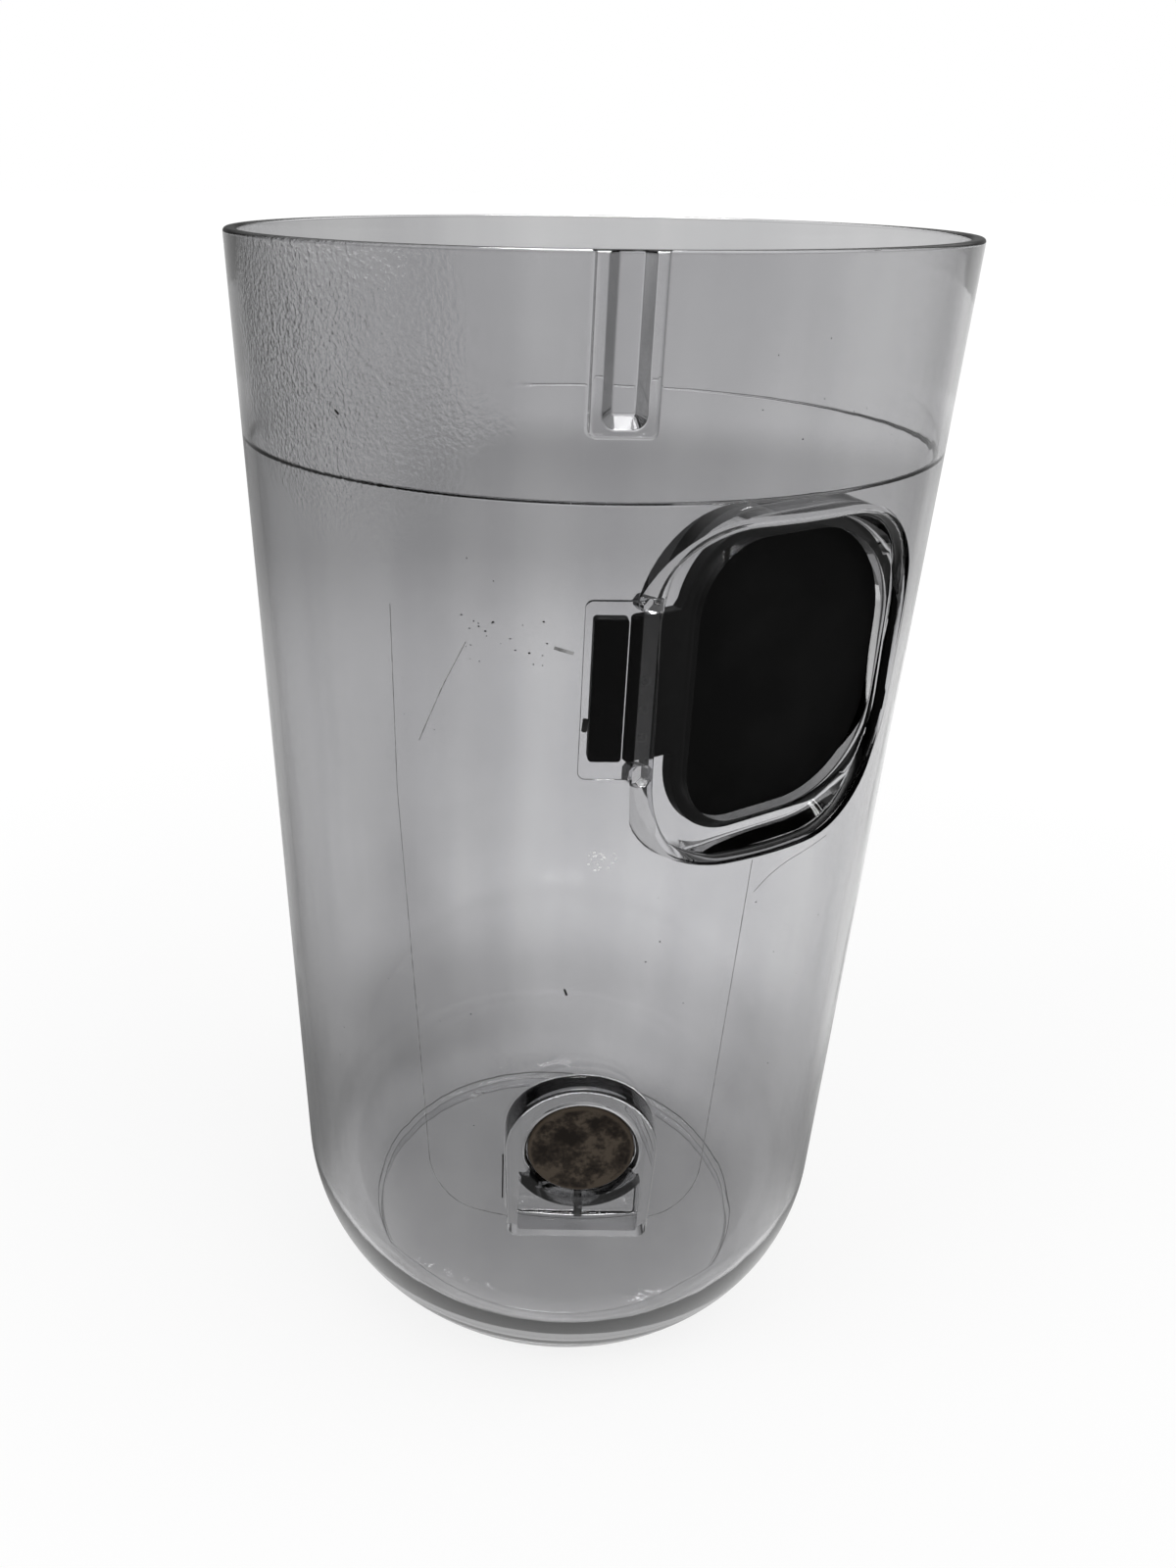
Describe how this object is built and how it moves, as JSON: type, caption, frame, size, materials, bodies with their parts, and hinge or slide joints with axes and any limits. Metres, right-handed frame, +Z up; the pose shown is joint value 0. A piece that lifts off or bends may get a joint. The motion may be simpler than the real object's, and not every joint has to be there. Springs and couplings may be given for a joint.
{
  "type": "cyclone dust bin",
  "caption": "Clear plastic cyclone dust bin with a round foot, a lid seat under the rim, a rubber inlet flap, a latch rib and a magnet boss.",
  "frame": {"origin": "centre of the foot, on the bin's axis", "axes": "+Z up the bin's axis to its open rim, -Y straight out of the inlet port"},
  "size_m": [0.1, 0.1, 0.174],
  "materials": {
    "clear_plastic": "clear smoke-tinted, glossy",
    "black_rubber": "matt black",
    "magnet_metal": "dull, tarnished brown"
  },
  "bodies": {
    "bin": {"bin_body": "clear_plastic", "flap_hinge_strap": "black_rubber", "magnet_disc": "magnet_metal"},
    "flap": {"inlet_flap": "black_rubber"}
  },
  "joints": [
    {"name": "flap_swing", "type": "hinge", "parent": "bin", "child": "flap", "pos_m": [-0.0206, -0.04015, 0.1251], "axis": [0, 0, 1], "range_deg": [0, 80]}
  ]
}
